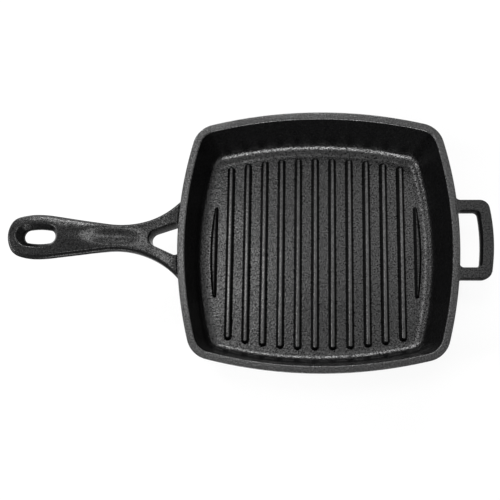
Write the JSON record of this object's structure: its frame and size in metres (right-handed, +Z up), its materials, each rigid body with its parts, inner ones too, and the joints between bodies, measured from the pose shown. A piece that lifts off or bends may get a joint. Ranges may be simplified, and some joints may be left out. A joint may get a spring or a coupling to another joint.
{
  "type": "grill pan",
  "caption": "Square cast-iron grill pan with bowed sides, parallel ribs, a forked main handle with a hang hole and a helper loop.",
  "frame": {"origin": "centre of the flat base of the pan, on its underside", "axes": "+X from the pan towards the helper loop, so the main handle runs along -X; +Y across the handles; +Z up, out of the open top"},
  "size_m": [0.4834, 0.2688, 0.0612],
  "materials": {
    "seasoned_iron": "black seasoned cast iron, fine sand-cast grain, satin"
  },
  "bodies": {
    "root": {"grill_rib_01": "seasoned_iron", "grill_rib_02": "seasoned_iron", "grill_rib_03": "seasoned_iron", "grill_rib_04": "seasoned_iron", "grill_rib_05": "seasoned_iron", "grill_rib_06": "seasoned_iron", "grill_rib_07": "seasoned_iron", "grill_rib_08": "seasoned_iron", "grill_rib_09": "seasoned_iron", "grill_rib_10": "seasoned_iron", "grill_rib_11": "seasoned_iron", "handle_fork_leg_front": "seasoned_iron", "handle_fork_leg_rear": "seasoned_iron", "handle_grip": "seasoned_iron", "helper_loop_arm_front": "seasoned_iron", "helper_loop_arm_rear": "seasoned_iron", "helper_loop_bar": "seasoned_iron", "pan_floor": "seasoned_iron", "pan_wall_front": "seasoned_iron", "pan_wall_handle_side": "seasoned_iron", "pan_wall_loop_side": "seasoned_iron", "pan_wall_rear": "seasoned_iron", "side_ridge_handle_side": "seasoned_iron", "side_ridge_loop_side": "seasoned_iron"}
  },
  "joints": []
}
